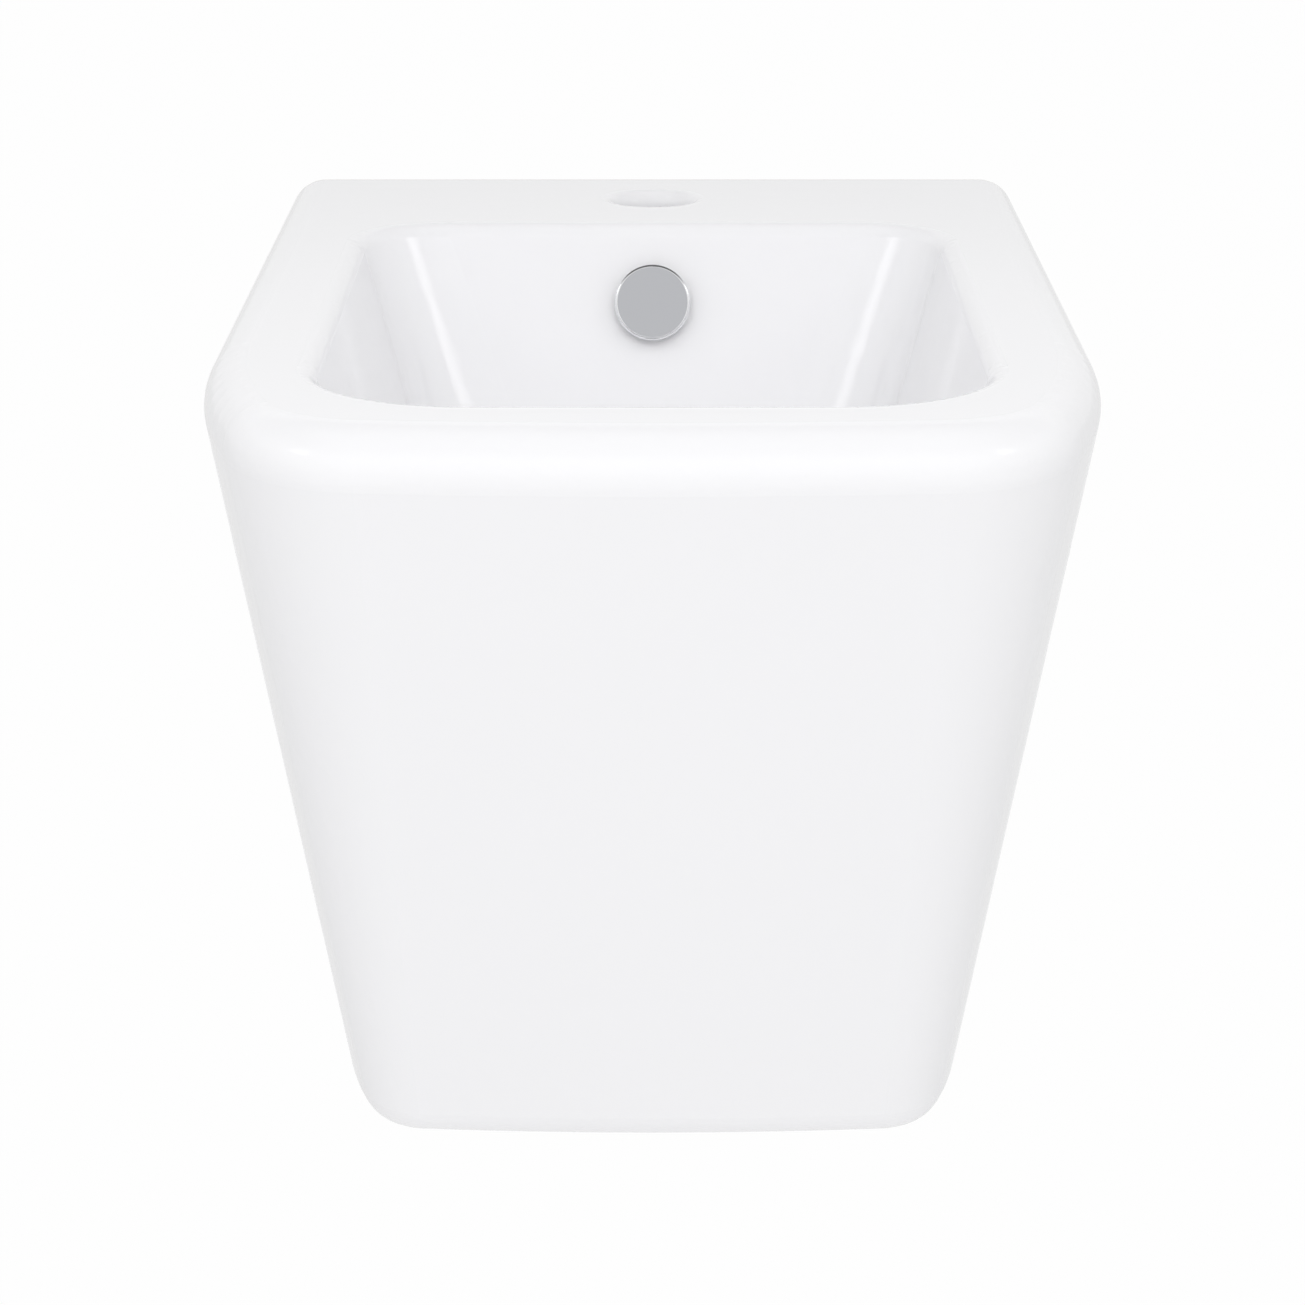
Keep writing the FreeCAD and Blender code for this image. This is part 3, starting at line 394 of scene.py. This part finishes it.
def helix(wall_r, crest_r, pitch, run):
    """A thread's ridge around Z, from Z = 0 up to the run, with both ends drawn to a point."""
    bm = bmesh.new()
    sink = ROOT_SINK if crest_r > wall_r else -ROOT_SINK
    foot_r = wall_r - sink
    foot = FLANK_SHARE * pitch
    crest = CREST_SHARE * pitch
    profile = ((foot_r, -foot), (crest_r, -crest), (crest_r, crest), (foot_r, foot))
    turns = math.floor((run - 2 * foot) / pitch * THREAD_STEPS) / THREAD_STEPS
    verts = [bm.verts.new((radius, 0.0, foot + z)) for radius, z in profile]
    edges = [bm.edges.new(pair) for pair in zip(verts, verts[1:] + verts[:1])]
    made = bmesh.ops.spin(
        bm,
        geom=verts + edges,
        cent=(0, 0, 0),
        axis=(0, 0, 1),
        dvec=(0, 0, pitch / THREAD_STEPS),
        angle=2 * math.pi * turns,
        steps=round(turns * THREAD_STEPS),
        use_duplicate=False,
    )
    last = [item for item in made["geom_last"] if isinstance(item, bmesh.types.BMVert)]
    for end in (verts, last):
        middle = sum((vert.co for vert in end), Vector()) / len(end)
        inward = Vector((middle.x, middle.y, 0.0)).normalized() * foot_r
        bmesh.ops.pointmerge(bm, verts=end, merge_co=(inward.x, inward.y, middle.z))
    return bm


def finished(bm, name, material):
    """Makes a piece of the mesh, with its finish, on the fixed body."""
    bmesh.ops.recalc_face_normals(bm, faces=bm.faces)
    for face in bm.faces:
        face.smooth = True
    mesh = bpy.data.meshes.new(name)
    bm.to_mesh(mesh)
    bm.free()
    mesh.materials.append(material)
    piece = bpy.data.objects.new(name, mesh)
    bpy.context.scene.collection.objects.link(piece)
    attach(piece, FIXED_BODY)
    return piece


class BIDET_OT_glaze_body(Operator):
    """Glazes the china body"""

    bl_idname = "bidet.glaze_body"
    bl_label = "Glaze the body"

    def execute(self, context):
        coat(china_material(context.scene.bidet_china), "ceramic_body")
        return {"FINISHED"}


class BIDET_OT_plate_covers(Operator):
    """Plates the overflow cover and the plug"""

    bl_idname = "bidet.plate_covers"
    bl_label = "Plate the overflow cover and the plug"

    def execute(self, context):
        look = context.scene.bidet_fittings
        coat(cover_material(look), "overflow_cap")
        # The plug's chrome is painted lighter, to offset the dark ceiling that it mirrors
        shade = chrome_shading("plug_chrome_lightened", smoothest=0.06, dullest=0.12)
        shade.set(base_color=look.chrome_plug_lightened)
        coat(shade.material, "plug_cap")
        return {"FINISHED"}


class BIDET_OT_plate_waste(Operator):
    """Plates the waste and cuts the thread on its tail"""

    bl_idname = "bidet.plate_waste"
    bl_label = "Plate the waste"

    def execute(self, context):
        sizes = context.scene.bidet_threads
        shade = chrome_shading("waste_chrome", smoothest=0.12, dullest=0.24)
        shade.set(base_color=context.scene.bidet_fittings.chrome_waste)
        coat(shade.material, "waste_body")
        mount = MOUNTS["waste_thread"]
        radius = mount["dims"]["r_mm"] * MM
        run = mount["dims"]["length_mm"] * MM
        x, y, middle = mount["pos_m"]
        bm = helix(radius, radius + sizes.waste_height, sizes.waste_pitch, run)
        bmesh.ops.translate(bm, verts=bm.verts, vec=(x, y, middle - run / 2))
        finished(bm, "waste_tail_thread", shade.material)
        return {"FINISHED"}


class BIDET_OT_fit_brass(Operator):
    """Finishes the brass nuts, pin and cartridge, and cuts the cartridge's thread below its nut"""

    bl_idname = "bidet.fit_brass"
    bl_label = "Fit the brass pieces"

    def execute(self, context):
        sizes = context.scene.bidet_threads
        brass = brass_material(context.scene.bidet_fittings)
        coat(brass, "waste_back_nut", "cartridge_nut", "click_cartridge", "plug_pin")
        low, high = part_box("cartridge_end_cap")  # its flange is as wide as the threaded tube
        radius = (high[0] - low[0]) / 2
        x, y = ((low[axis] + high[axis]) / 2 for axis in (0, 1))
        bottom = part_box("click_cartridge")[0][2]
        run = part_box("cartridge_nut")[0][2] - bottom
        bm = helix(radius, radius + sizes.cartridge_height, sizes.cartridge_pitch, run)
        bmesh.ops.translate(bm, verts=bm.verts, vec=(x, y, bottom))
        finished(bm, "cartridge_thread", brass)
        return {"FINISHED"}


class BIDET_OT_fit_seals(Operator):
    """Finishes the rubber seals"""

    bl_idname = "bidet.fit_seals"
    bl_label = "Fit the seals"

    def execute(self, context):
        rubber = rubber_material(context.scene.bidet_fittings)
        coat(rubber, "overflow_seal", "waste_top_seal", "waste_bottom_seal", "plug_seal")
        return {"FINISHED"}


class BIDET_OT_fit_plastics(Operator):
    """Finishes the moulded plastic pieces"""

    bl_idname = "bidet.fit_plastics"
    bl_label = "Fit the plastic pieces"

    def execute(self, context):
        look = context.scene.bidet_fittings
        white = plastic_material("white_plastic", look.plastic, depth=1.0 * MM)
        milky = plastic_material("slip_plastic", look.slip_plastic, depth=2.0 * MM)
        coat(white, "overflow_sleeve", "latch_ring", "cartridge_end_cap", "fixing_bushes")
        coat(milky, "waste_slip_washer")
        return {"FINISHED"}


class BIDET_OT_fit_steel(Operator):
    """Finishes the wall washers and nuts, cuts the nuts' threads and fits the spring under the plug"""

    bl_idname = "bidet.fit_steel"
    bl_label = "Fit the steel pieces"

    def execute(self, context):
        sizes = context.scene.bidet_threads
        zinc = zinc_material(context.scene.bidet_fittings)
        coat(zinc, "fixing_washers", "fixing_nuts")
        front, back = (corner[1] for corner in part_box("fixing_nuts"))
        crest = sizes.stud_radius - sizes.stud_height
        mount = MOUNTS["wall_fixing"]
        half_spacing = mount["dims"]["spacing_x_mm"] * MM / 2
        x, _, z = mount["pos_m"]
        for name, side in (("left_nut_thread", -1), ("right_nut_thread", 1)):
            bm = helix(sizes.stud_radius, crest, sizes.stud_pitch, back - front)
            bmesh.ops.rotate(bm, verts=bm.verts, matrix=Matrix.Rotation(-math.pi / 2, 3, "X"))
            bmesh.ops.translate(bm, verts=bm.verts, vec=(x + side * half_spacing, front, z))
            finished(bm, name, zinc)
        self.fit_spring(zinc)
        return {"FINISHED"}

    def fit_spring(self, zinc):
        """A copy of the CAD spring with its seams joined, on the fixed body in place of the CAD one."""
        bm = bmesh.new()
        bm.from_mesh(NODES["click_spring"].data)
        bmesh.ops.remove_doubles(bm, verts=bm.verts, dist=SEAM_GAP)
        spring = finished(bm, "plug_spring", zinc)
        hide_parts("click_spring")
        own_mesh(spring)


def lamp(name, power, shape, size, place, target, mirrored):
    """A soft lamp that faces the target. The camera doesn't see it, and mirrors may."""
    data = bpy.data.lights.new(name, "AREA")
    data.energy = power
    data.shape = shape
    data.size, data.size_y = size
    made = bpy.data.objects.new(name, data)
    made.location = place
    made.visible_camera = False
    made.visible_glossy = mirrored
    made.rotation_euler = (Vector(target) - Vector(place)).to_track_quat("-Z", "Y").to_euler()
    bpy.context.scene.collection.objects.link(made)
    return made


class BIDET_OT_set_stage(Operator):
    """Lays the floor and sets the light and the camera"""

    bl_idname = "bidet.set_stage"
    bl_label = "Set the stage"

    def execute(self, context):
        scene = context.scene
        studio = scene.bidet_studio
        self.lay_floor(studio)
        self.show_room(scene, studio)
        self.place_lamps(studio)
        self.place_camera(scene, studio)
        scene.view_settings.view_transform = "Standard"
        return {"FINISHED"}

    def lay_floor(self, studio):
        bm = bmesh.new()
        place = Matrix.Translation((0.0, 0.0, studio.floor_level))
        bmesh.ops.create_grid(bm, x_segments=1, y_segments=1, size=studio.floor_size / 2, matrix=place)
        mesh = bpy.data.meshes.new("studio_floor")
        bm.to_mesh(mesh)
        bm.free()
        shade = Shading("pale_floor")
        shade.set(base_color=studio.floor, roughness=0.9)
        white = shade.add("ShaderNodeMixShader")
        seen = shade.plainly_seen(studio.floor_mirrored)
        shade.put(white.inputs["Fac"], shade.math("MULTIPLY", seen, studio.floor_white))
        for socket, shader in zip(white.inputs[1:], (shade.shader, shade.add("ShaderNodeEmission"))):
            shade.put(socket, shader.outputs[0])
        shade.put(shade.tree.nodes["Material Output"].inputs["Surface"], white.outputs[0])
        mesh.materials.append(shade.material)
        floor = bpy.data.objects.new("studio_floor", mesh)
        bpy.context.scene.collection.objects.link(floor)

    def show_room(self, scene, studio):
        """Even light all round, seen as a white room and mirrored as a greyer one with a dark ceiling."""
        world = bpy.data.worlds.new("studio_light")
        world.use_nodes = True
        nodes = Nodes(world.node_tree)
        direction = nodes.add("ShaderNodeSeparateXYZ")
        nodes.put(direction.inputs["Vector"], nodes.add("ShaderNodeTexCoord").outputs["Generated"])
        room = nodes.span(nodes.add("ShaderNodeLightPath").outputs["Is Camera Ray"], studio.room, 1.0)
        shown = nodes.span(nodes.sharpen(direction.outputs["Z"], *CEILING_SPAN), room, studio.ceiling)
        background = nodes.tree.nodes["Background"]
        nodes.put(background.inputs["Color"], (1.0, 1.0, 1.0))
        nodes.put(background.inputs["Strength"], nodes.span(nodes.plainly_seen(1.0), studio.sky, shown))
        scene.world = world

    def place_lamps(self, studio):
        lamp(
            "near_lamp",
            studio.near_lamp,
            shape="ELLIPSE",
            size=(1.5, 0.7),
            place=(0.0, -0.75, 0.8),
            target=FRONT_RIM,
            mirrored=False,
        )
        lamp(
            "front_lamp",
            studio.front_lamp,
            shape="RECTANGLE",
            size=(2.4, 1.2),
            place=(0.0, -2.8, 1.8),
            target=FRONT_RIM,
            mirrored=False,
        )
        lamp(
            "low_lamp",
            studio.low_lamp,
            shape="RECTANGLE",
            size=(4.0, 2.2),
            place=(*LOW_LAMP_PLACE, studio.floor_level + LOW_LAMP_LIFT),
            target=(*LOW_LAMP_PLACE, 0.0),
            mirrored=False,
        )
        for side in (-1, 1):
            place, corner = ((side * x, y, z) for x, y, z in (BEAM_PLACE, BEAM_CORNER))
            beam = lamp("corner_beam", studio.beam, "RECTANGLE", (0.5, 0.38), place, corner, mirrored=True)
            beam.data.spread = studio.beam_spread

    def place_camera(self, scene, studio):
        data = bpy.data.cameras.new("photo_camera")
        data.lens = studio.camera_lens
        camera = bpy.data.objects.new("photo_camera", data)
        camera.location = (0.0, -studio.camera_distance, studio.camera_height)
        camera.rotation_euler = (math.pi / 2 - studio.camera_pitch, 0.0, 0.0)
        scene.collection.objects.link(camera)
        scene.camera = camera


class BIDET_PT_panel(Panel):
    """Lists the steps that dress the bidet"""

    bl_label = "Wall-hung bidet"
    bl_space_type = "VIEW_3D"
    bl_region_type = "UI"
    bl_category = "Bidet"

    def draw(self, context):
        for step in STEPS:
            self.layout.operator(step.bl_idname)
        for name, _ in SETTINGS:
            box = self.layout.box()
            group = getattr(context.scene, name)
            for key in group.__annotations__:
                box.prop(group, key)


SETTINGS = (
    ("bidet_china", ChinaFinish),
    ("bidet_fittings", FittingFinish),
    ("bidet_threads", ThreadSizes),
    ("bidet_studio", StudioSettings),
)
STEPS = (
    BIDET_OT_glaze_body,
    BIDET_OT_plate_covers,
    BIDET_OT_plate_waste,
    BIDET_OT_fit_brass,
    BIDET_OT_fit_seals,
    BIDET_OT_fit_plastics,
    BIDET_OT_fit_steel,
    BIDET_OT_set_stage,
)


def register():
    for name, group in SETTINGS:
        bpy.utils.register_class(group)
        setattr(bpy.types.Scene, name, PointerProperty(type=group))
    for step in STEPS:
        bpy.utils.register_class(step)
    bpy.utils.register_class(BIDET_PT_panel)


def unregister():
    bpy.utils.unregister_class(BIDET_PT_panel)
    for step in reversed(STEPS):
        bpy.utils.unregister_class(step)
    for name, group in reversed(SETTINGS):
        delattr(bpy.types.Scene, name)
        bpy.utils.unregister_class(group)


def main():
    register()
    for step in STEPS:
        group, name = step.bl_idname.split(".")
        getattr(getattr(bpy.ops, group), name)()


if __name__ == "__main__":
    main()
